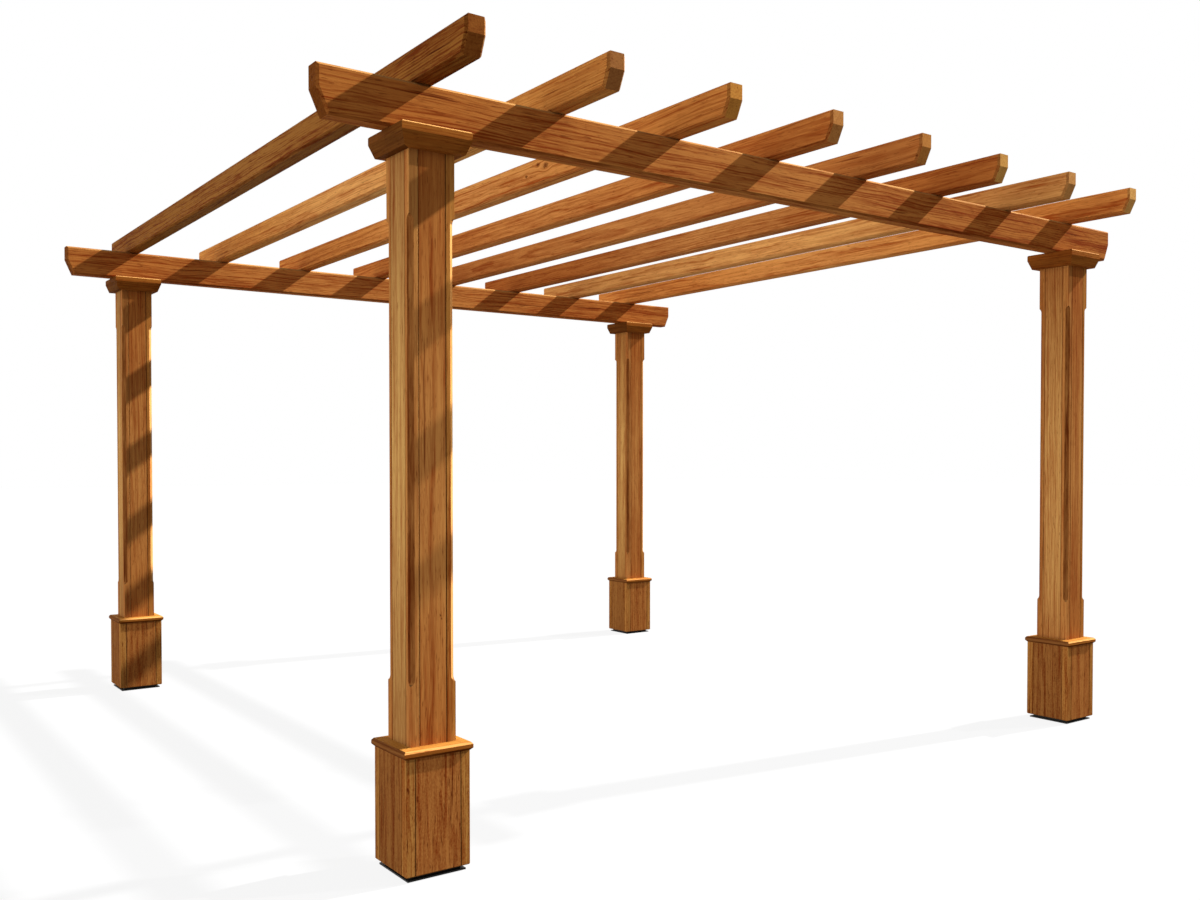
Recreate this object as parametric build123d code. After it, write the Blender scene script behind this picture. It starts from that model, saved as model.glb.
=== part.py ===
"""Free-standing wooden pergola on four boxed posts.

Each post is a hollow column of square corner stiles with face boards between
them.  It stands on a stepped foot pad, inside a boxed base.  A mitred moulding
closes the base and a moulded cap block closes the column.  Two beams rest on
the caps, one in front and one behind, and a row of rafters lies across both.

Units are millimetres.  +X runs along the beams to the right, +Y along the
rafters to the back, +Z up.  The origin is on the ground in the middle.
"""
from build123d import *
import os

# ---- Driving dimensions -----------------------------------------------------

# Plan and height
POST_SPACING_X = 4267.2     # 14 ft between post centres along the beams
POST_SPACING_Y = 4267.2     # 14 ft between post centres along the rafters
BEAM_UNDERSIDE = 2781.0     # top of the caps above the ground

# Boxed columns: four corner stiles with a face board between each pair
POST_STILE = 38.0           # square section of a corner stile
BOARD_STEP = 6.0            # a face board is this much thinner than a stile
SEAM_EASE = 2.5             # arris planed off each side of an open seam

# Post shaft
SHAFT_WIDTH = 189.0
SHAFT_CHAMFER = 19.0        # leg of the stopped corner chamfer
STOP_RADIUS = 25.0          # round run-out of the cutter at each stop
STOP_ABOVE_BASE = 225.5     # square shaft left above the base moulding
STOP_BELOW_CAP = 236.0      # square shaft left below the cap

# Foot: a thin plate on the ground with a smaller pad on it
PLATE_HEIGHT = 6.0
PLATE_INSET = 11.5          # step in from the outside of the base
PAD_HEIGHT = 13.5
PAD_REACH = 11.5            # past the outside of the shaft

# Boxed base round the foot of the shaft
BASE_TOP = 456.0            # top of the base boards above the ground
BASE_CLEARANCE = 0.5        # between the shaft and the base stiles
BASE_ARRIS = 4.0            # eased bottom edge of the base

# Base moulding: four mitred lengths round the shaft, on top of the base
MOULD_REACH = 10.5          # nose past the outside of the base
MOULD_HEIGHT = 33.5         # where it meets the shaft
MOULD_FALL = 1.5            # fall of its top from the shaft to the bevel
MOULD_BEVEL_RUN = 7.5       # the bevel in front of the top: how far out
MOULD_BEVEL_FALL = 8.5      # and how far down it goes
MOULD_UNDER_BEVEL = 10.0    # leg of the bevel under the nose
MOULD_ARRIS = 1.2           # radius of its worn arrises
MITRE_JOINT = 0.3           # width of the open mitre line

# Cap block
CAP_REACH = 51.0            # fascia past the outside of the shaft
CAP_FASCIA = 32.0           # upright band at the top
CAP_BEVEL_HEIGHT = 52.0
CAP_BEVEL_SET_IN = 19.0     # how far the bevel runs in at the bottom
CAP_ARRIS = 4.5

# Beams and rafters
TIMBER_WIDTH = 85.0
TIMBER_CHAMFER = 10.0       # run round the outline of both side faces
BEAM_DEPTH = 181.0
BEAM_OVERHANG = 425.0       # past the post centre
BEAM_END_FACE = 85.0        # upright part of the shaped end
BEAM_END_CUT = 42.0         # how far the end is cut back at the bottom
RAFTER_COUNT = 8            # the first and last stand over the posts
RAFTER_DEPTH = 134.0
RAFTER_OVERHANG = 428.0
RAFTER_END_FACE = 63.0
RAFTER_END_CUT = 34.0

# ---- Places worked out from them --------------------------------------------

base_width = SHAFT_WIDTH + 2 * (BASE_CLEARANCE + POST_STILE)
base_bottom = PLATE_HEIGHT + PAD_HEIGHT
mould_top = BASE_TOP + MOULD_HEIGHT
cap_width = SHAFT_WIDTH + 2 * CAP_REACH
cap_bottom = BEAM_UNDERSIDE - CAP_FASCIA - CAP_BEVEL_HEIGHT
beam_top = BEAM_UNDERSIDE + BEAM_DEPTH
rafter_pitch = POST_SPACING_X / (RAFTER_COUNT - 1)

post_places = {
    "front_left": (-POST_SPACING_X / 2, -POST_SPACING_Y / 2),
    "front_right": (POST_SPACING_X / 2, -POST_SPACING_Y / 2),
    "back_left": (-POST_SPACING_X / 2, POST_SPACING_Y / 2),
    "back_right": (POST_SPACING_X / 2, POST_SPACING_Y / 2),
}


def block(x_size, y_size, z_low, z_high, x_mid=0.0, y_mid=0.0):
    """An upright box given by its plan size, its middle and its two levels."""
    middle = Location((x_mid, y_mid, z_low))
    return middle * Box(x_size, y_size, z_high - z_low,
                        align=(Align.CENTER, Align.CENTER, Align.MIN))


def quarter_turns(piece):
    """The same piece on all four sides of a square post."""
    return [Rotation(0, 0, 90 * turn) * piece for turn in range(4)]


# ---- Box column: stiles and boards ------------------------------------------

def corner_stile(box_width, z_low, z_high):
    """The square stile in the right-hand back corner of a boxed column.

    Its two outer arrises beside the seams are eased, so that each seam reads
    as a narrow V.
    """
    middle = (box_width - POST_STILE) / 2
    piece = block(POST_STILE, POST_STILE, z_low, z_high, middle, middle)
    face = box_width / 2
    seam = face - POST_STILE
    arrises = [edge for edge in piece.edges().filter_by(Axis.Z)
               if is_at(edge, seam, face) or is_at(edge, face, seam)]
    return chamfer(arrises, SEAM_EASE)


def is_at(edge, x, y):
    """Whether an upright edge stands at this place in plan."""
    middle = edge @ 0.5
    return abs(middle.X - x) < 0.01 and abs(middle.Y - y) < 0.01


def face_board(box_width, z_low, z_high):
    """The back board of a boxed column, flush with the stiles outside."""
    thickness = POST_STILE - BOARD_STEP
    piece = block(box_width - 2 * POST_STILE, thickness, z_low, z_high,
                  0.0, (box_width - thickness) / 2)
    outside = piece.faces().sort_by(Axis.Y)[-1]
    return chamfer(outside.edges().filter_by(Axis.Z), SEAM_EASE)


# ---- Post shaft -------------------------------------------------------------

def stopped_chamfer():
    """The wood that the cutter takes off the shaft's right-hand back corner.

    In the upright plane through the corner, the cut goes in to the depth of
    the chamfer, and leaves the wood along an arc of the cutter at each stop.
    """
    depth = SHAFT_CHAMFER / 2 ** 0.5
    run_out = (STOP_RADIUS ** 2 - (STOP_RADIUS - depth) ** 2) ** 0.5
    low = mould_top + STOP_ABOVE_BASE
    high = cap_bottom - STOP_BELOW_CAP
    # Section in the diagonal plane: s is measured inwards from the corner.
    section = Polyline((0, low), (-STOP_RADIUS, low), (-STOP_RADIUS, high), (0, high))
    section += RadiusArc((0, high), (depth, high - run_out), STOP_RADIUS)
    section += Line((depth, high - run_out), (depth, low + run_out))
    section += RadiusArc((depth, low + run_out), (0, low), STOP_RADIUS)
    corner = Plane(origin=(SHAFT_WIDTH / 2, SHAFT_WIDTH / 2, 0),
                   x_dir=(-1, -1, 0), z_dir=(-1, 1, 0))
    return extrude(corner * make_face(section), POST_STILE, both=True)


def shaft_stiles():
    stile = corner_stile(SHAFT_WIDTH, base_bottom, cap_bottom)
    return quarter_turns(stile - stopped_chamfer())


def shaft_boards():
    return quarter_turns(face_board(SHAFT_WIDTH, base_bottom, cap_bottom))


# ---- Foot pad and boxed base ------------------------------------------------

def foot_pad():
    """One moulding: the plate shows past the pad all round, under the base.

    The pad carries the shaft and the inner edges of the base, so that the
    base's outer edges hang clear of the plate.
    """
    plate = base_width - 2 * PLATE_INSET
    pad = SHAFT_WIDTH + 2 * PAD_REACH
    return [block(plate, plate, 0, PLATE_HEIGHT)
            + block(pad, pad, PLATE_HEIGHT, base_bottom)]


def base_stiles():
    stile = corner_stile(base_width, base_bottom, BASE_TOP)
    return quarter_turns(ease_bottom(stile))


def base_boards():
    board = face_board(base_width, base_bottom, BASE_TOP)
    return quarter_turns(ease_bottom(board))


def ease_bottom(piece):
    """Take the arris off the bottom edges that lie on the outside of the base."""
    outside = base_width / 2
    bottom = piece.faces().sort_by(Axis.Z)[0]
    arrises = [edge for edge in bottom.edges()
               if abs((edge @ 0.5).X - outside) < 0.01
               or abs((edge @ 0.5).Y - outside) < 0.01]
    return chamfer(arrises, BASE_ARRIS)


# ---- Base moulding ----------------------------------------------------------

def moulding_profile():
    """Section of the moulding: reach from the post centre against height.

    The top is nearly level.  A bevel leads from it down to the upright nose,
    and a second bevel cuts back under the nose to the base.
    """
    inner = SHAFT_WIDTH / 2
    outer = base_width / 2 + MOULD_REACH
    top_edge = mould_top - MOULD_FALL
    nose_top = (outer, top_edge - MOULD_BEVEL_FALL)
    nose_bottom = (outer, BASE_TOP + MOULD_UNDER_BEVEL)
    outline = Polyline((inner, BASE_TOP), (outer - MOULD_UNDER_BEVEL, BASE_TOP),
                       nose_bottom, nose_top,
                       (outer - MOULD_BEVEL_RUN, top_edge), (inner, mould_top), close=True)
    face = make_face(outline)
    arrises = [corner for corner in face.vertices()
               if corner.X > inner + 1 and corner.Y > BASE_TOP + 1]
    return fillet(arrises, MOULD_ARRIS)


def base_moulding():
    """Four lengths of the moulding, mitred at the corners."""
    outer = base_width / 2 + MOULD_REACH
    upright = Plane(origin=(0, 0, 0), x_dir=(1, 0, 0), z_dir=(0, -1, 0))
    length = extrude(upright * moulding_profile(), outer, both=True)
    # The mitres keep what lies between the diagonals, less half the joint.
    joint = MITRE_JOINT / 2 ** 0.5
    wedge = make_face(Polyline((joint, 0), (outer + joint, -outer),
                               (outer + joint, outer), close=True))
    return quarter_turns(length & extrude(wedge, mould_top))


# ---- Cap block --------------------------------------------------------------

def post_cap():
    """A solid block: an upright fascia over a bevel that runs in to the shaft."""
    fascia_bottom = BEAM_UNDERSIDE - CAP_FASCIA
    fascia = block(cap_width, cap_width, fascia_bottom, BEAM_UNDERSIDE)
    fascia = chamfer(fascia.faces().sort_by(Axis.Z)[-1].edges(), CAP_ARRIS)
    underside = cap_width - 2 * CAP_BEVEL_SET_IN
    wide = Pos(0, 0, fascia_bottom) * Rectangle(cap_width, cap_width)
    narrow = Pos(0, 0, cap_bottom) * Rectangle(underside, underside)
    return [fascia + loft([narrow, wide])]


# ---- Beams and rafters ------------------------------------------------------

def timber(length, depth, end_face, end_cut):
    """A timber along X, standing on z = 0, with both ends shaped.

    Each end is upright for end_face from the top, then slopes back by end_cut
    at the bottom.  A chamfer follows the whole outline of both side faces.
    """
    half = length / 2
    outline = Polyline((-half, depth), (half, depth), (half, depth - end_face),
                       (half - end_cut, 0), (end_cut - half, 0),
                       (-half, depth - end_face), close=True)
    side = Plane(origin=(0, 0, 0), x_dir=(1, 0, 0), z_dir=(0, -1, 0))
    piece = extrude(side * make_face(outline), TIMBER_WIDTH / 2, both=True)
    sides = piece.faces().sort_by(Axis.Y)
    return chamfer(sides[0].edges() + sides[-1].edges(), TIMBER_CHAMFER)


def beam(y):
    length = POST_SPACING_X + 2 * BEAM_OVERHANG
    piece = timber(length, BEAM_DEPTH, BEAM_END_FACE, BEAM_END_CUT)
    return [Pos(0, y, BEAM_UNDERSIDE) * piece]


def rafter(number):
    """Rafters are counted from 1 on the left, and lie across both beams."""
    length = POST_SPACING_Y + 2 * RAFTER_OVERHANG
    piece = timber(length, RAFTER_DEPTH, RAFTER_END_FACE, RAFTER_END_CUT)
    x = -POST_SPACING_X / 2 + (number - 1) * rafter_pitch
    return [Pos(x, 0, beam_top) * Rotation(0, 0, 90) * piece]


# ---- The whole pergola, one file for each node ------------------------------

def write(node, solids):
    whole = solids[0] if len(solids) == 1 else Compound(children=solids)
    whole.label = node
    export_step(whole, os.path.join("parts", node + ".step"))


os.makedirs("parts", exist_ok=True)

post_pieces = {
    "foot_pad": foot_pad(),
    "base_stiles": base_stiles(),
    "base_boards": base_boards(),
    "base_moulding": base_moulding(),
    "shaft_stiles": shaft_stiles(),
    "shaft_boards": shaft_boards(),
    "post_cap": post_cap(),
}

for place, (x, y) in post_places.items():
    for name, solids in post_pieces.items():
        write(f"{place}_{name}", [Pos(x, y, 0) * solid for solid in solids])

write("front_beam", beam(-POST_SPACING_Y / 2))
write("back_beam", beam(POST_SPACING_Y / 2))

for number in range(1, RAFTER_COUNT + 1):
    write(f"rafter_{number}", rafter(number))
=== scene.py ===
"""Looks of the wooden pergola: oiled redwood on black stand-off feet, in an open sunny studio.

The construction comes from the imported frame.  Each section below takes one kind of piece, from
the ground up, and gives its nodes their finish; the studio and the camera come last.
"""

import math

import bpy
import numpy as np
from mathutils import Euler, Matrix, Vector


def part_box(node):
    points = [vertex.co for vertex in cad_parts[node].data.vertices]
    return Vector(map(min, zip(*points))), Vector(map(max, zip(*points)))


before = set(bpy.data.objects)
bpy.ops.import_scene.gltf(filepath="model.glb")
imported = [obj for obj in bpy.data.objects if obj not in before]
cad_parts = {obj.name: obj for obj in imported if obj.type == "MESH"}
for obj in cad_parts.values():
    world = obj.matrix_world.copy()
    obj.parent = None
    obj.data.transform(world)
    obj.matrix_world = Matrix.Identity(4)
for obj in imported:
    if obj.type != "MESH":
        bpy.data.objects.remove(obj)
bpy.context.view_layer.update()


# ---- Foot pads ----------------------------------------------------------------------------------
# A black polypropylene stand-off foot under each post, injection moulded with a fine spark-eroded
# texture: nearly black, with a dull sheen and a little dust on its flat edge.

POSTS = ("front_left", "front_right", "back_left", "back_right")

FOOT_BLACK = "#0d0c0b"
FOOT_DUST = "#1e1b18"
FOOT_GRIT_MM = 1.6          # really a tenth of this, drawn coarser so that it shows
FOOT_RELIEF_MM = 0.2
FOOT_DUST_MM = 45.0         # patches of dust
FOOT_ROUGHNESS = 0.6
POLYPROPYLENE_IOR = 1.49
FOOT_SHEEN = 0.2            # less than a smooth moulding's, because of the grit


def linear(colour):
    """The linear RGBA of an sRGB hex colour."""
    parts = np.array([int(colour[i:i + 2], 16) for i in (1, 3, 5)]) / 255
    curve = np.where(parts <= 0.04045, parts / 12.92, ((parts + 0.055) / 1.055) ** 2.4)
    return (*curve.tolist(), 1.0)


def add(tree, kind, inputs=(), **settings):
    """Adds one shader node with its settings, and its sockets' values or links.  A socket goes by
    its name, or by its number where several share a name."""
    node = tree.nodes.new(kind)
    for name, value in settings.items():
        setattr(node, name, value)
    for key, value in dict(inputs).items():
        if isinstance(value, bpy.types.NodeSocket):
            tree.links.new(value, node.inputs[key])
        else:
            node.inputs[key].default_value = value
    return node


def new_tree(name):
    """A new empty material and its node tree."""
    material = bpy.data.materials.new(name)
    material.use_nodes = True
    material.node_tree.nodes.clear()
    return material, material.node_tree


def finish_with(node_name, material):
    """Gives every face of a CAD node one material, in the slots that it has."""
    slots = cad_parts[node_name].material_slots
    for slot in slots:
        slot.material = material


def moulded_polypropylene():
    """Nearly black and dull, with fine grit in its surface and a little grey dust on it."""
    material, tree = new_tree("moulded_polypropylene")
    point = add(tree, "ShaderNodeTexCoord").outputs["Object"]
    grit = add(tree, "ShaderNodeTexNoise",
               {"Vector": point, "Scale": 1000 / FOOT_GRIT_MM, "Detail": 2.0})
    dust = add(tree, "ShaderNodeTexNoise",
               {"Vector": point, "Scale": 1000 / FOOT_DUST_MM, "Detail": 4.0})
    colour = add(tree, "ShaderNodeMix",
                 {0: dust.outputs["Fac"], 6: linear(FOOT_BLACK), 7: linear(FOOT_DUST)},
                 data_type="RGBA")
    bump = add(tree, "ShaderNodeBump",
               {"Height": grit.outputs["Fac"], "Strength": 0.4,
                "Distance": FOOT_RELIEF_MM / 1000})
    shader = add(tree, "ShaderNodeBsdfPrincipled",
                 {"Base Color": colour.outputs[2], "Roughness": FOOT_ROUGHNESS,
                  "IOR": POLYPROPYLENE_IOR, "Specular IOR Level": FOOT_SHEEN,
                  "Normal": bump.outputs["Normal"]})
    add(tree, "ShaderNodeOutputMaterial", {"Surface": shader.outputs["BSDF"]})
    return material


foot_finish = moulded_polypropylene()
for post in POSTS:
    finish_with(f"{post}_foot_pad", foot_finish)


# ---- Boxed bases --------------------------------------------------------------------------------
# Four square redwood stiles with a board between each pair, planed, sanded and brushed with two
# coats of brown penetrating oil.  The oil soaks in, so the faces stay dull, the latewood shows as
# darker, redder lines, and dirt gathers in the open seams.  Splashing rain has raised the grain.

# Heartwood, and how much painted light it takes along its length: front, right, back and left board
# ...
BASE_BOARDS = (("#aa6d35", 0.0), ("#a66932", 0.0), ("#a36631", 0.0), ("#925f2e", 0.0))
# ... and the stiles, from the front left corner round to the right
BASE_STILES = (("#ad773a", 0.0), ("#b27c3c", 0.0), ("#ab7436", 0.0), ("#a47036", 0.0))
BASE_FIGURE = 1.5           # how strongly the grain is marked
BASE_SPECKLE = 0.9          # how dark its open pores are
BASE_ROUGH = 0.9            # how much of its grain stands up
BASE_SEAM_MM = 95.0         # from the middle of the post to the seam beside a stile
BOARDS_START = 0.375        # turns added to a bearing, so that the first board is at the front ...
STILES_START = 0.5          # ... and the first stile at the front left

LATEWOOD = "#bc8a70"        # these five darken whatever wood they lie on
RESIN_STREAK = "#96664c"    # resin, and the dirt in open pores
KNOT_WOOD = "#6b3a28"
SEAM_STAIN = "#5e3c26"
PAINTED_SHADE_TONE = "#a9876e"        # painted shade on slanted faces that the sun lamps don't reach
PAINTED_LIGHT_TONE = "#f3b669"        # painted light: pale pools along lengths, glints on arrises
SUN_SIDE_PAINTED_TONE = "#846239"       # painted shade on the faces that the sun lamps light most
OILED_END = "#6d4722"       # end grain, which drinks more oil

RING_MM = 11.0              # a year's growth is 2 to 4 mm, drawn wider so that it shows
# How wide every other marking is across the grain, and how long it is along it
RIPPLE_MM = (24.0, 300.0)   # the rings waver
STREAK_MM = (9.0, 340.0)    # bundles of fibres: a single one is a twentieth of a millimetre
FIBRE_MM = (4.5, 80.0)      # the finest fibres that show
STRIPE_MM = (34.0, 1600.0)  # broad stripes of paler and darker growth
CLOUD_MM = (180.0, 600.0)   # uneven soaking of the oil
RAISED_MM = (5.0, 10.0)     # raised grain: really under 1 mm, drawn coarser so that it shows
PORE_MM = (5.0, 55.0)       # open pores: really fine as hairs, drawn as short dark dashes
RESIN_MM = (20.0, 900.0)
OIL_PATCH_MM = (30.0, 260.0)
KNOT_EDGE_MM = (4.0, 7.0)   # the ragged rim of a knot

LOG_SIZE = (3, 3, 7)        # metres of log, from anywhere in which a board may be sawn
PITH_REACH = (0.17, 0.17, 4.5)  # how far from a board's middle its pith may lie
RING_SLOPE = 0.012          # the rings are cones, which narrow by this much along the log
DRIFT_BENDS = (6, 6, 1.6)   # bends of the wandering grain in a metre, across and along
AVERAGE_LATEWOOD = 0.35
SUNNY_SIDE = (0.6, -0.2, 0.77)  # the side that the sun lamps light most, which painted tones follow

OILED_ROUGHNESS = 0.7
WOOD_IOR = 1.5
OIL_SHEEN = 0.005           # oil that has soaked in leaves hardly any gloss
FIBRE_RELIEF_MM = 1.0

# The turn that lays Z along each axis
TURNS = {"X": (0, math.radians(-90), 0), "Y": (math.radians(90), 0, 0), "Z": (0, 0, 0)}


def along_grain(tree, grain, middle):
    """The point from the piece's middle, that point turned so that Z runs along the grain, and
    how squarely the face cuts the grain.  Grain along "sides" follows the sides of a square
    collar: X on its front and back, Y on its left and right, which swap places at the mitres."""
    coordinates = add(tree, "ShaderNodeTexCoord").outputs
    centred = add(tree, "ShaderNodeVectorMath",
                  {0: coordinates["Object"], 1: middle}, operation="SUBTRACT").outputs[0]
    point = centred
    normal = coordinates["Normal"]
    if grain == "sides":
        sideways = further_out(tree, centred)
        turned = []
        for vector in (point, normal):
            parts = add(tree, "ShaderNodeSeparateXYZ", {"Vector": vector}).outputs
            swapped = add(tree, "ShaderNodeCombineXYZ",
                          {"X": parts["Y"], "Y": parts["X"], "Z": parts["Z"]}).outputs[0]
            turned.append(add(tree, "ShaderNodeMix", {0: sideways, 4: vector, 5: swapped},
                              data_type="VECTOR").outputs[1])
        point, normal = turned
        grain = "X"
    turn = Euler(TURNS[grain])
    point = add(tree, "ShaderNodeMapping", {"Vector": point, "Rotation": turn}).outputs["Vector"]
    axis = turn.to_matrix().transposed() @ Vector((0, 0, 1))
    facing = add(tree, "ShaderNodeVectorMath", {0: normal, 1: axis}, operation="DOT_PRODUCT")
    facing = add(tree, "ShaderNodeMath", {0: facing.outputs["Value"]}, operation="ABSOLUTE")
    return centred, point, facing.outputs[0]


def further_out(tree, centred):
    """1 where the left and right sides of a post are, 0 at its front and back."""
    size = add(tree, "ShaderNodeVectorMath", {0: centred}, operation="ABSOLUTE").outputs[0]
    size = add(tree, "ShaderNodeSeparateXYZ", {"Vector": size}).outputs
    return add(tree, "ShaderNodeMath", {0: size["X"], 1: size["Y"]},
               operation="GREATER_THAN").outputs[0]


def heartwood(tree, centred, hearts, start, seed):
    """The colour of each board round a post, how much painted light it takes along its length, and
    three random numbers that give it its own place in the log.  A single timber has one heart."""
    parts = add(tree, "ShaderNodeSeparateXYZ", {"Vector": centred}).outputs
    bearing = add(tree, "ShaderNodeMath", {0: parts["Y"], 1: parts["X"]},
                  operation="ARCTAN2").outputs[0]
    turn = add(tree, "ShaderNodeMath", {0: bearing, 1: 0.5 / math.pi, 2: start},
               operation="MULTIPLY_ADD").outputs[0]
    which = add(tree, "ShaderNodeMath", {0: turn}, operation="FRACT").outputs[0]
    chosen = add(tree, "ShaderNodeValToRGB", {"Fac": which})
    chosen.color_ramp.interpolation = "CONSTANT"
    stops = chosen.color_ramp.elements
    stops.remove(stops[1])
    for number, (heart, light_pool_amount) in enumerate(hearts):
        stop = stops.new(number / len(hearts)) if number else stops[0]
        stop.color = (*linear(heart)[:3], light_pool_amount)
    count = add(tree, "ShaderNodeMath", {0: which, 1: len(hearts)}, operation="MULTIPLY").outputs[0]
    count = add(tree, "ShaderNodeMath", {0: count}, operation="FLOOR").outputs[0]
    count = add(tree, "ShaderNodeMath", {0: count, 1: seed}, operation="ADD").outputs[0]
    lot = add(tree, "ShaderNodeTexWhiteNoise", {"W": count}, noise_dimensions="1D")
    return chosen.outputs["Color"], chosen.outputs["Alpha"], lot.outputs["Color"]


def round_knots(tree, point, knots):
    """The point with the grain drawn aside round each knot, and each knot's ragged core."""
    flow = point
    cores = []
    for centre, radius_mm in knots:
        radius = radius_mm / 1000
        away = add(tree, "ShaderNodeVectorMath", {0: point, 1: centre}, operation="SUBTRACT")
        oval = add(tree, "ShaderNodeVectorMath", {0: away.outputs[0], 1: (1, 1, 0.6)},
                   operation="MULTIPLY")
        reach = add(tree, "ShaderNodeVectorMath", {0: oval.outputs[0]}, operation="LENGTH")
        pull = add(tree, "ShaderNodeMapRange",
                   {"Value": reach.outputs["Value"], "From Min": radius, "From Max": 4 * radius,
                    "To Min": -0.8, "To Max": 0.0}, interpolation_type="SMOOTHSTEP").outputs[0]
        flow = add(tree, "ShaderNodeVectorMath", {0: away.outputs[0], 1: pull, 2: flow},
                   operation="MULTIPLY_ADD").outputs[0]
        ragged = add(tree, "ShaderNodeMath",
                     {0: grain_noise(tree, point, KNOT_EDGE_MM), 1: -3 * radius,
                      2: reach.outputs["Value"]}, operation="MULTIPLY_ADD").outputs[0]
        cores.append(add(tree, "ShaderNodeMapRange",
                         {"Value": ragged, "From Min": 0.0, "From Max": -radius, "To Max": 0.8},
                         interpolation_type="SMOOTHSTEP").outputs[0])
    return flow, cores


def grain_noise(tree, point, size_mm, detail=2.0):
    """Noise drawn out along the grain, its size given across and along it."""
    across_mm, along_mm = size_mm
    scale = (1000 / across_mm, 1000 / across_mm, 1000 / along_mm)
    sized = add(tree, "ShaderNodeMapping", {"Vector": point, "Scale": scale})
    return add(tree, "ShaderNodeTexNoise",
               {"Vector": sized.outputs["Vector"], "Scale": 1.0, "Detail": detail,
                "Roughness": 0.6}).outputs["Fac"]


def growth_rings(tree, point, pith):
    """Latewood, from 0 to 1: the distance from a slightly tilted pith is counted in rings, and
    within each ring the wood darkens slowly and pales at once.  Each ring has its own strength."""
    from_pith = add(tree, "ShaderNodeVectorMath", {0: point, 1: pith}, operation="ADD")
    tilted = add(tree, "ShaderNodeVectorMath", {0: from_pith.outputs[0], 1: (1, 1, RING_SLOPE)},
                 operation="MULTIPLY")
    radius = add(tree, "ShaderNodeVectorMath", {0: tilted.outputs[0]}, operation="LENGTH")
    ripple = grain_noise(tree, point, RIPPLE_MM)
    rings = add(tree, "ShaderNodeMath", {0: radius.outputs["Value"], 1: 1000 / RING_MM, 2: ripple},
                operation="MULTIPLY_ADD").outputs[0]
    year = add(tree, "ShaderNodeMath", {0: rings}, operation="FRACT").outputs[0]
    rise = add(tree, "ShaderNodeMapRange", {"Value": year, "From Min": 0.2, "From Max": 0.8},
               interpolation_type="SMOOTHSTEP").outputs[0]
    fall = add(tree, "ShaderNodeMapRange", {"Value": year, "From Min": 1.0, "From Max": 0.86},
               interpolation_type="SMOOTHSTEP").outputs[0]
    which = add(tree, "ShaderNodeMath", {0: rings}, operation="FLOOR").outputs[0]
    strength = add(tree, "ShaderNodeTexWhiteNoise", {"W": which}, noise_dimensions="1D")
    line = add(tree, "ShaderNodeMath", {0: rise, 1: fall}, operation="MULTIPLY").outputs[0]
    return add(tree, "ShaderNodeMath", {0: line, 1: strength.outputs["Value"]},
               operation="MULTIPLY").outputs[0]


def seam_dirt(tree, centred, seam_mm):
    """Dirt in the open seams beside the stiles: thick within 1 mm of each and gone at 3 mm, with
    less of it on the left and right sides."""
    size = add(tree, "ShaderNodeVectorMath", {0: centred}, operation="ABSOLUTE").outputs[0]
    size = add(tree, "ShaderNodeSeparateXYZ", {"Vector": size}).outputs
    off = add(tree, "ShaderNodeMath", {0: size["X"], 1: size["Y"]}, operation="MINIMUM")
    off = add(tree, "ShaderNodeMath", {0: off.outputs[0], 1: seam_mm / 1000}, operation="SUBTRACT")
    off = add(tree, "ShaderNodeMath", {0: off.outputs[0]}, operation="ABSOLUTE").outputs[0]
    most = add(tree, "ShaderNodeMapRange",
               {"Value": further_out(tree, centred), "To Min": 0.5, "To Max": 0.2}).outputs[0]
    return add(tree, "ShaderNodeMapRange",
               {"Value": off, "From Min": 0.003, "From Max": 0.001, "To Max": most},
               interpolation_type="SMOOTHSTEP").outputs[0]


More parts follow.
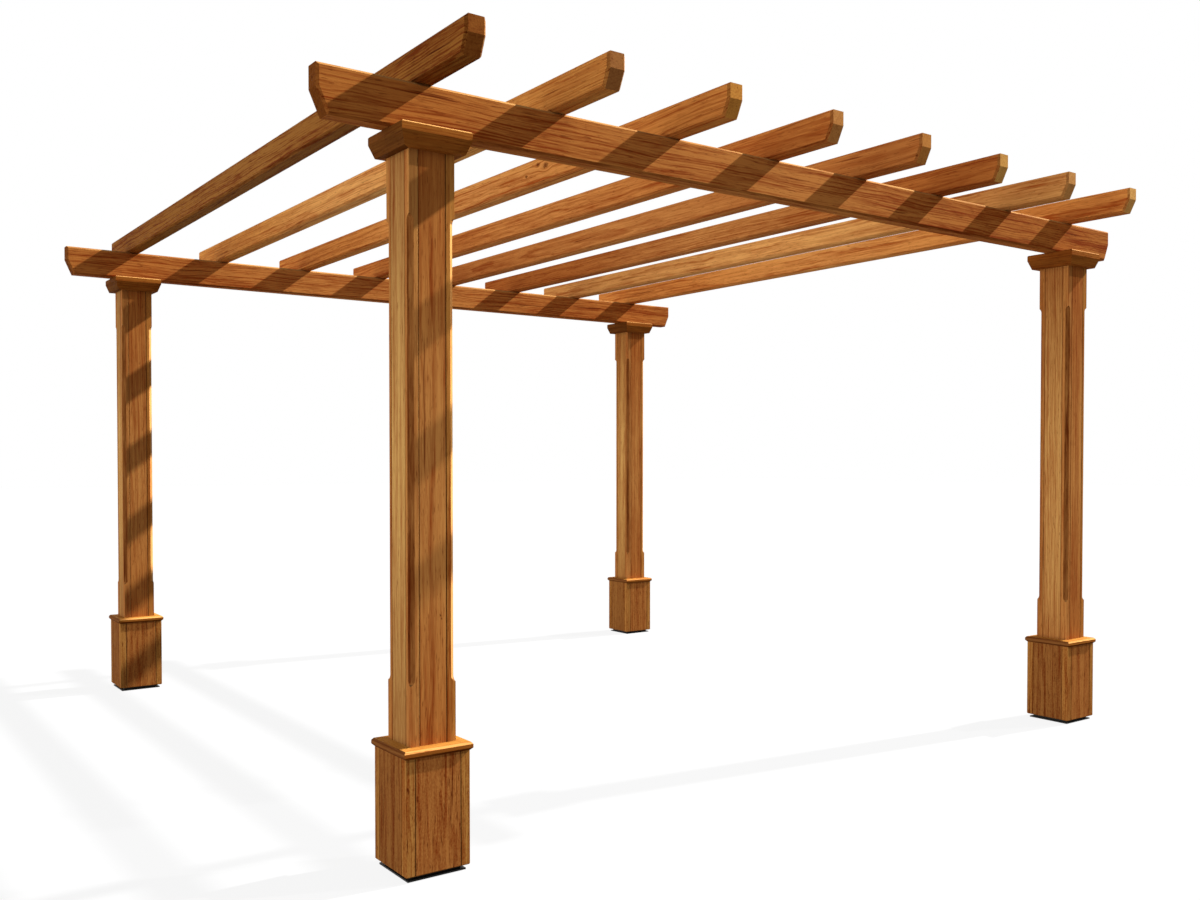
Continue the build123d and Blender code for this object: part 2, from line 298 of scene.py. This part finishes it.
def oiled_redwood(name, grain, middle, hearts, seed, start=0.0, figure=1.0, wander_mm=6.0,
                  seam_mm=0.0, chamfer=0.0, painted_shade_tone=PAINTED_SHADE_TONE, fade_centre=0.0, fade_reach=1.5,
                  end=OILED_END, sun_side_painted_tone=SUN_SIDE_PAINTED_TONE, light_pool_tone=PAINTED_LIGHT_TONE, speckle=0.55,
                  rough=0.0, knots=()):
    """Redwood under brown oil, with its grain along X, Y, Z or the sides of a collar.  The seed
    and the numbers after it pick the place in the log that each board comes from.  Over its
    heartwood lie a painted pool of light along its length, painted shade on the faces that the
    sun lamps light most and painted glints on arrises half turned to them, the sawn ends, the
    latewood and growth of every width, and then pores, resin streaks, knots, painted shade on
    chamfers that the sun lamps don't reach, and the dirt in seams.
    """
    material, tree = new_tree(name)
    centred, point, facing = along_grain(tree, grain, middle)
    colour, light_pool_amount, lot = heartwood(tree, centred, hearts, start, seed)

    # The grain flows round knots, and drifts sideways along the timber
    flow, cores = round_knots(tree, point, knots)
    pith = add(tree, "ShaderNodeVectorMath",
               {0: lot, 1: [2 * reach for reach in PITH_REACH], 2: [-reach for reach in PITH_REACH]},
               operation="MULTIPLY_ADD").outputs[0]
    drift = add(tree, "ShaderNodeMapping",
                {"Vector": flow, "Scale": DRIFT_BENDS}).outputs["Vector"]
    drift = add(tree, "ShaderNodeVectorMath", {0: drift, 1: pith}, operation="ADD").outputs[0]
    drift = add(tree, "ShaderNodeTexNoise", {"Vector": drift, "Scale": 1.0, "Detail": 2.0})
    drift = add(tree, "ShaderNodeVectorMath", {0: drift.outputs["Color"], 1: (0.5, 0.5, 0.5)},
                operation="SUBTRACT").outputs[0]
    sway = wander_mm / 1000 * 4  # because the noise strays a quarter of its range at most
    flow = add(tree, "ShaderNodeVectorMath", {0: drift, 1: (sway, sway, 0), 2: flow},
               operation="MULTIPLY_ADD").outputs[0]
    own = add(tree, "ShaderNodeVectorMath", {0: lot, 1: LOG_SIZE, 2: flow},
              operation="MULTIPLY_ADD").outputs[0]

    # Painted light, paler about one place along the length, and painted shade on the top and right,
    # which the sun lamps light most
    length = add(tree, "ShaderNodeSeparateXYZ", {"Vector": point}).outputs["Z"]
    off = add(tree, "ShaderNodeMath", {0: length, 1: fade_centre}, operation="SUBTRACT")
    off = add(tree, "ShaderNodeMath", {0: off.outputs[0]}, operation="ABSOLUTE").outputs[0]
    painted_light_pool = add(tree, "ShaderNodeMapRange",
                   {"Value": off, "From Max": fade_reach, "To Min": light_pool_amount, "To Max": 0.0},
                   interpolation_type="SMOOTHSTEP").outputs[0]
    normal = add(tree, "ShaderNodeTexCoord").outputs["Normal"]
    sunny = add(tree, "ShaderNodeVectorMath", {0: normal, 1: SUNNY_SIDE},
                operation="DOT_PRODUCT").outputs["Value"]
    sun_side_painted = add(tree, "ShaderNodeMapRange", {"Value": sunny, "From Min": 0.22,
                                                 "From Max": 0.28, "To Max": 0.9}).outputs[0]

    # Slanted faces are those whose normal has parts along more than one axis.  Arrises half turned
    # to the sun lamps get a painted glint, but those squarely in the sun take the faces' painted
    # shade.
    size = add(tree, "ShaderNodeVectorMath", {0: normal}, operation="ABSOLUTE").outputs[0]
    size = add(tree, "ShaderNodeVectorMath", {0: size, 1: (1, 1, 1)}, operation="DOT_PRODUCT")
    slanted = add(tree, "ShaderNodeMapRange", {"Value": size.outputs["Value"], "From Min": 1.25,
                                               "From Max": 1.35}).outputs[0]
    painted_glint = add(tree, "ShaderNodeMapRange", {"Value": sunny, "From Min": 0.9, "From Max": 0.75,
                                              "To Max": 0.68 * chamfer}).outputs[0]
    painted_glint = add(tree, "ShaderNodeMapRange", {"Value": sunny, "From Min": 0.45, "From Max": 0.55,
                                              "To Max": painted_glint}).outputs[0]
    painted_arris_glint = add(tree, "ShaderNodeMath", {0: slanted, 1: painted_glint}, operation="MULTIPLY").outputs[0]

    ends = add(tree, "ShaderNodeMapRange", {"Value": facing, "From Min": 0.6, "From Max": 0.9,
                                            "To Max": 0.95}).outputs[0]
    for amount, tone in ((painted_light_pool, light_pool_tone), (sun_side_painted, sun_side_painted_tone), (painted_arris_glint, PAINTED_LIGHT_TONE),
                         (ends, end)):
        colour = add(tree, "ShaderNodeMix", {0: amount, 6: colour, 7: linear(tone)},
                     data_type="RGBA").outputs[2]

    # Latewood and growth of every width, each with its mean and its weight.  They darken the wood
    # about an average, and show less on the sawn ends.
    streaks = grain_noise(tree, own, STREAK_MM)
    fibres = grain_noise(tree, own, FIBRE_MM)
    markings = ((growth_rings(tree, flow, pith), 0.2, 0.35),
                (streaks, 0.5, 1.1),
                (fibres, 0.5, 0.7),
                (grain_noise(tree, own, STRIPE_MM), 0.5, 1.0),
                (grain_noise(tree, own, CLOUD_MM), 0.5, 0.5),
                (grain_noise(tree, own, RAISED_MM), 0.5, rough))
    dark = AVERAGE_LATEWOOD - sum(mean * weight * figure for _, mean, weight in markings)
    for marking, _, weight in markings:
        dark = add(tree, "ShaderNodeMath", {0: marking, 1: weight * figure, 2: dark},
                   operation="MULTIPLY_ADD").outputs[0]
    calm = add(tree, "ShaderNodeMapRange", {"Value": ends, "To Min": 1.0, "To Max": 0.4}).outputs[0]
    dark = add(tree, "ShaderNodeMath", {0: dark, 1: calm}, operation="MULTIPLY").outputs[0]
    pores = add(tree, "ShaderNodeMapRange",
                {"Value": grain_noise(tree, own, PORE_MM), "From Min": 0.6,
                 "From Max": 0.7, "To Max": speckle}, interpolation_type="SMOOTHSTEP").outputs[0]
    resin = add(tree, "ShaderNodeMapRange",
                {"Value": grain_noise(tree, own, RESIN_MM), "From Min": 0.66,
                 "From Max": 0.74, "To Max": 0.8}, interpolation_type="SMOOTHSTEP").outputs[0]
    stains = [(dark, LATEWOOD), (pores, RESIN_STREAK), (resin, RESIN_STREAK)]
    stains += [(core, KNOT_WOOD) for core in cores]

    # Painted shade, in patches, on chamfers that the sun lamps don't reach
    if chamfer:
        most = add(tree, "ShaderNodeMapRange", {"Value": sunny, "From Min": 0.1, "From Max": 0.0,
                                                "To Max": chamfer}).outputs[0]
        least = add(tree, "ShaderNodeMath", {0: most, 1: 0.3}, operation="MULTIPLY").outputs[0]
        patchy = add(tree, "ShaderNodeMapRange",
                     {"Value": grain_noise(tree, own, OIL_PATCH_MM, 5.0), "From Min": 0.4,
                      "From Max": 0.6, "To Min": least, "To Max": most}).outputs[0]
        painted_shade = add(tree, "ShaderNodeMath", {0: slanted, 1: patchy}, operation="MULTIPLY").outputs[0]
        painted_shade = add(tree, "ShaderNodeMath", {0: painted_shade, 1: calm}, operation="MULTIPLY").outputs[0]
        stains.append((painted_shade, painted_shade_tone))
    if seam_mm:
        stains.append((seam_dirt(tree, centred, seam_mm), SEAM_STAIN))
    for amount, stain in stains:
        colour = add(tree, "ShaderNodeMix", {0: amount, 6: colour, 7: linear(stain)},
                     data_type="RGBA", blend_type="MULTIPLY").outputs[2]

    # Smooth to the hand: only the fibres stand up a little
    relief = add(tree, "ShaderNodeMath", {0: streaks, 1: fibres}, operation="ADD").outputs[0]
    bump = add(tree, "ShaderNodeBump", {"Height": relief, "Strength": 0.35,
                                          "Distance": FIBRE_RELIEF_MM / 1000})
    shader = add(tree, "ShaderNodeBsdfPrincipled",
                 {"Base Color": colour, "Roughness": OILED_ROUGHNESS, "IOR": WOOD_IOR,
                  "Specular IOR Level": OIL_SHEEN, "Normal": bump.outputs["Normal"]})
    add(tree, "ShaderNodeOutputMaterial", {"Surface": shader.outputs["BSDF"]})
    return material


def post_middle(post):
    """The middle of a post in plan, at its foot."""
    low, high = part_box(f"{post}_foot_pad")
    return (low.x + high.x) / 2, (low.y + high.y) / 2, 0.0


for number, post in enumerate(POSTS):
    finish_with(f"{post}_base_boards",
                oiled_redwood(f"oiled_redwood_base_boards_{number}", "Z", post_middle(post),
                              BASE_BOARDS, 11 + 10 * number, BOARDS_START, BASE_FIGURE,
                              seam_mm=BASE_SEAM_MM, speckle=BASE_SPECKLE, rough=BASE_ROUGH))
    finish_with(f"{post}_base_stiles",
                oiled_redwood(f"oiled_redwood_base_stiles_{number}", "Z", post_middle(post),
                              BASE_STILES, 15 + 10 * number, STILES_START, BASE_FIGURE,
                              seam_mm=BASE_SEAM_MM, speckle=BASE_SPECKLE, rough=BASE_ROUGH))


# ---- Base mouldings -----------------------------------------------------------------------------
# Four lengths of redwood run off on a spindle moulder and mitred round the shaft, with their grain
# along each side.  Their tops and the bevels turned to the sun lamps are painted a golden straw, a
# painted highlight, and their bevels out of the sun take painted shade.

# Heartwood of the front, right, back and left lengths
MOULDING_LENGTHS = (("#9e6024", 0.0), ("#9f672a", 0.0), ("#9f672a", 0.0), ("#84552a", 0.0))
# Painted highlight: a golden straw on the faces that the sun lamps light most
MOULDING_TOP = "#ba843b"
MOULDED = 1.0               # how much painted shade and glint its bevels take

for number, post in enumerate(POSTS):
    finish_with(f"{post}_base_moulding",
                oiled_redwood(f"oiled_redwood_moulding_{number}", "sides", post_middle(post),
                              MOULDING_LENGTHS, 51 + 4 * number, BOARDS_START, chamfer=MOULDED,
                              sun_side_painted_tone=MOULDING_TOP))


# ---- Post shafts --------------------------------------------------------------------------------
# The same box of stiles and boards as the base, from clear lengths of redwood chosen by eye: the
# stiles' outer corners are chamfered with a router, and the left board of each post is paler.
# Every board takes a painted highlight about eye height, strongest on the left boards.

# Front, right and back board, the left board of each post, and the stiles as in the base
SHAFT_BOARDS = (("#b16b30", 0.23), ("#a16331", 0.23), ("#b67136", 0.23))
SHAFT_LEFTS = (("#a1723d", 0.55), ("#ac723a", 0.55), ("#a1723d", 0.55), ("#a57038", 0.55))
SHAFT_STILES = (("#b87c40", 0.0), ("#bb7e3b", 0.0), ("#b6793b", 0.0), ("#b3783d", 0.0))
SHAFT_PAINTED_LIGHT_TONE = "#e6b76b"  # the painted highlight, a greyer straw than the rafters'
SHAFT_SEAM_MM = 56.5
SHAFT_FIGURE = 1.3
SHAFT_FADE_HEIGHT = 1.5     # the painted highlight is strongest at this height, about eye height
ROUTED = 0.85               # how much painted shade and glint a routed chamfer takes
# Two pin knots in the front board: places from the middle of the post's foot, and radii in mm
SHAFT_KNOTS = (((0.031, -0.0945, 0.971), 3.0), ((0.036, -0.0945, 0.958), 2.0))
KNOTTY_POST = "front_left"

for number, (post, left) in enumerate(zip(POSTS, SHAFT_LEFTS)):
    finish_with(f"{post}_shaft_boards",
                oiled_redwood(f"oiled_redwood_shaft_boards_{number}", "Z", post_middle(post),
                              (*SHAFT_BOARDS, left), 61 + 10 * number, BOARDS_START, SHAFT_FIGURE,
                              seam_mm=SHAFT_SEAM_MM, fade_centre=SHAFT_FADE_HEIGHT,
                              light_pool_tone=SHAFT_PAINTED_LIGHT_TONE,
                              knots=SHAFT_KNOTS if post == KNOTTY_POST else ()))
    finish_with(f"{post}_shaft_stiles",
                oiled_redwood(f"oiled_redwood_shaft_stiles_{number}", "Z", post_middle(post),
                              SHAFT_STILES, 65 + 10 * number, STILES_START, SHAFT_FIGURE,
                              seam_mm=SHAFT_SEAM_MM, chamfer=ROUTED))


# ---- Post caps ----------------------------------------------------------------------------------
# A block faced with redwood moulding, an upright band over a bevel, mitred at the corners.  Its
# grain runs level round the post, and the facing on the left of each is darker.

CAP_FACINGS = ("#a46325", "#9a5a20", "#9a5a20")             # front, right and back
CAP_LEFTS = ("#704319", "#8f521d", "#704319", "#704319")    # one for each post
SHELTERED = 0.9             # how much painted shade the bevel takes
CAP_PAINTED_SHADE_TONE = "#82899b"   # painted shade, dull and grey-blue, where the sun lamps don't reach

for number, (post, left) in enumerate(zip(POSTS, CAP_LEFTS)):
    sides = [(heart, 0.0) for heart in (*CAP_FACINGS, left)]
    finish_with(f"{post}_post_cap",
                oiled_redwood(f"oiled_redwood_cap_{number}", "sides", post_middle(post),
                              sides, 101 + 4 * number, BOARDS_START, chamfer=SHELTERED,
                              painted_shade_tone=CAP_PAINTED_SHADE_TONE))


# ---- Beams --------------------------------------------------------------------------------------
# One sawn and planed redwood timber in front and one behind, with chamfered outlines and shaped
# ends.  The grain wanders along their length, and long dark lines of latewood follow it.

BEAM_HEARTS = (("#b77032", 0.14), ("#be7536", 0.2))
BEAM_FIGURE = 1.9
BEAM_WANDER_MM = 12.0
PLANED = 0.5                # how much painted shade and glint a planed chamfer takes
BEAM_FADE_PLACE = -0.3      # a little left of the middle, where the painted light on each is strongest
BEAM_FADE_REACH = 2.2
BEAM_END = "#68370e"

for number, (beam, heart) in enumerate(zip(("front_beam", "back_beam"), BEAM_HEARTS)):
    low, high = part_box(beam)
    finish_with(beam, oiled_redwood(f"oiled_redwood_{beam}", "X", (low + high) / 2,
                                    (heart,), 121 + number, figure=BEAM_FIGURE,
                                    wander_mm=BEAM_WANDER_MM, chamfer=PLANED,
                                    fade_centre=BEAM_FADE_PLACE, fade_reach=BEAM_FADE_REACH,
                                    end=BEAM_END))


# ---- Rafters ------------------------------------------------------------------------------------
# Eight lighter timbers of the same redwood laid across the beams.  Each comes from another log,
# so they differ in colour; the first, at the left, is the darkest.  The others take painted light
# about the middle of their length, the light that each one's left neighbour throws onto it.
# Their ends were sawn last: the first two took some oil there, and the others hardly any.

RAFTER_HEARTS = (("#8c5924", 0.05), ("#d7954a", 0.95), ("#d08741", 0.46), ("#c97e3c", 0.25),
                 ("#c57e3f", 0.26), ("#b36a30", 0.4), ("#d59854", 0.8), ("#d98d45", 0.37))
RAFTER_ENDS = ("#915421", "#a46b39", "#d1903f", "#c88a49", "#c88741", "#dba455", "#d19654",
               "#e5af61")
RAFTER_FIGURES = (2.4, 1.15, 1.4, 1.3, 1.0, 1.3, 1.2, 1.4)
RAFTER_WANDER_MM = 10.0
RAFTER_FADE_PLACE = -0.35   # a little in front of the middle
RAFTER_FADE_REACH = 1.8
KNOTTY_RAFTER = 3
# From its middle: how far right, down and back each knot is, and its radius in mm
KNOT_CLUSTER = (((-0.0425, -0.012, -1.2), 12.0), ((-0.0425, -0.03, -1.13), 8.0),
                ((-0.0425, 0.01, -1.02), 7.0), ((0.0425, 0.02, -1.6), 9.0))

for number, (heart, end, figure) in enumerate(zip(RAFTER_HEARTS, RAFTER_ENDS, RAFTER_FIGURES), 1):
    low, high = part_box(f"rafter_{number}")
    finish_with(f"rafter_{number}",
                oiled_redwood(f"oiled_redwood_rafter_{number}", "Y", (low + high) / 2, (heart,),
                              140 + number, figure=figure, wander_mm=RAFTER_WANDER_MM, chamfer=PLANED,
                              fade_centre=RAFTER_FADE_PLACE, fade_reach=RAFTER_FADE_REACH, end=end,
                              knots=KNOT_CLUSTER if number == KNOTTY_RAFTER else ()))


# ---- Studio floor -------------------------------------------------------------------------------
# A plain white sweep of painted board that runs far past the pergola.  What is seen of it is
# white with the pergola's faint shadow, and it throws back only a little light.

FLOOR_HALF = 60.0           # metres from the middle to its edges
FLOOR_SEEN = "#ffffff"
FLOOR_BOUNCE = "#5d5c5b"
SHADOW_SHARE = 0.052        # how much of its colour comes from the lamps, and so takes shadow
GLOW = 0.94                 # with the lit share of the floor it comes to white


def background_rays(tree):
    """1 for rays that show a background: seen directly, mirrored or through glass."""
    path = add(tree, "ShaderNodeLightPath").outputs
    seen = add(tree, "ShaderNodeMath", {0: path["Is Camera Ray"], 1: path["Is Glossy Ray"]},
               operation="MAXIMUM").outputs[0]
    return add(tree, "ShaderNodeMath", {0: seen, 1: path["Is Transmission Ray"]},
               operation="MAXIMUM").outputs[0]


def painted_floor():
    """White where it is seen, with a soft shadow, and a dull grey to the light that it returns."""
    material, tree = new_tree("painted_floor")
    glow = add(tree, "ShaderNodeEmission",
               {"Color": linear(FLOOR_SEEN), "Strength": GLOW}).outputs[0]
    matt = add(tree, "ShaderNodeBsdfDiffuse", {"Color": linear(FLOOR_SEEN)}).outputs[0]
    white = add(tree, "ShaderNodeMixShader", {0: SHADOW_SHARE, 1: glow, 2: matt}).outputs[0]
    bounce = add(tree, "ShaderNodeBsdfDiffuse", {"Color": linear(FLOOR_BOUNCE)}).outputs[0]
    both = add(tree, "ShaderNodeMixShader",
               {0: background_rays(tree), 1: bounce, 2: white}).outputs[0]
    add(tree, "ShaderNodeOutputMaterial", {"Surface": both})
    return material


# A level square: every pairing of its two edges
edge = np.array((-FLOOR_HALF, FLOOR_HALF))
corners = np.stack(np.meshgrid(edge, edge, (0.0,), indexing="ij"), -1).reshape(-1, 3)
floor_mesh = bpy.data.meshes.new("studio_floor")
floor_mesh.from_pydata(corners.tolist(), [], [(0, 2, 3, 1)])
floor = bpy.data.objects.new("studio_floor", floor_mesh)
bpy.context.scene.collection.objects.link(floor)
floor.data.materials.append(painted_floor())
floor.visible_shadow = False


# ---- World and lamps ----------------------------------------------------------------------------
# A low sun lamp from the right grazes the fronts of the timbers, and a weaker one beside it stands
# further round to the front, so that the rafters lay slanting shadows on the beam and posts.  The
# sky is a soft even fill, and two wide lamps give the left and back their form.

SKY = 0.42
# Where each lamp stands, and its light on a face square to it, where 1 shows a colour as written
SUN_FROM = (1.28, -0.16, 1.0)
SUN_LEVEL = 2.8
FRONT_FROM = (1.28, -0.52, 1.0)
FRONT_LEVEL = 0.66
SUN_WIDTH_DEG = 1.0
FILL_FROM = (-1.0, 0.35, -0.05)
FILL_LEVEL = 0.68
BACK_FROM = (0.0, 1.0, 0.1)
BACK_LEVEL = 0.4
FILL_WIDTH_DEG = 60.0

world = bpy.data.worlds.new("studio_sky")
bpy.context.scene.world = world
world.use_nodes = True
world.node_tree.nodes.clear()
tree = world.node_tree
white = add(tree, "ShaderNodeBackground", {"Color": (1, 1, 1, 1)}).outputs[0]
sky = add(tree, "ShaderNodeBackground", {"Color": (SKY, SKY, SKY, 1)}).outputs[0]
both = add(tree, "ShaderNodeMixShader",
           {0: background_rays(tree), 1: sky, 2: white}).outputs[0]
add(tree, "ShaderNodeOutputWorld", {"Surface": both})

for name, source, level, width in (("sun", SUN_FROM, SUN_LEVEL, SUN_WIDTH_DEG),
                                   ("front_sun", FRONT_FROM, FRONT_LEVEL, SUN_WIDTH_DEG),
                                   ("left_fill", FILL_FROM, FILL_LEVEL, FILL_WIDTH_DEG),
                                   ("back_fill", BACK_FROM, BACK_LEVEL, FILL_WIDTH_DEG)):
    lamp = bpy.data.lights.new(name, "SUN")
    lamp.energy = level * math.pi
    lamp.angle = math.radians(width)
    holder = bpy.data.objects.new(name, lamp)
    holder.rotation_euler = Vector(source).to_track_quat("Z", "Y").to_euler()
    bpy.context.scene.collection.objects.link(holder)


# ---- Camera -------------------------------------------------------------------------------------
# It stands at eye level outside the front left post and looks along the pergola's diagonal, nearly
# level, with its frame shifted up a little to take in the rafters.

EYE = (-4.1080, -6.0117, 1.5545)
HEADING_DEG = 35.963        # turned from +Y towards +X
PITCH_DEG = -1.155
FOCAL_MM = 33.96
SENSOR_MM = 36.0
SHIFT_UP = 0.0273

view = bpy.data.cameras.new("camera")
view.lens = FOCAL_MM
view.sensor_width = SENSOR_MM
view.shift_y = SHIFT_UP
view.clip_end = 500.0
camera = bpy.data.objects.new("camera", view)
camera.location = EYE
camera.rotation_euler = (math.radians(90 + PITCH_DEG), 0, math.radians(-HEADING_DEG))
bpy.context.scene.collection.objects.link(camera)
bpy.context.scene.camera = camera
bpy.context.scene.view_settings.view_transform = "Standard"
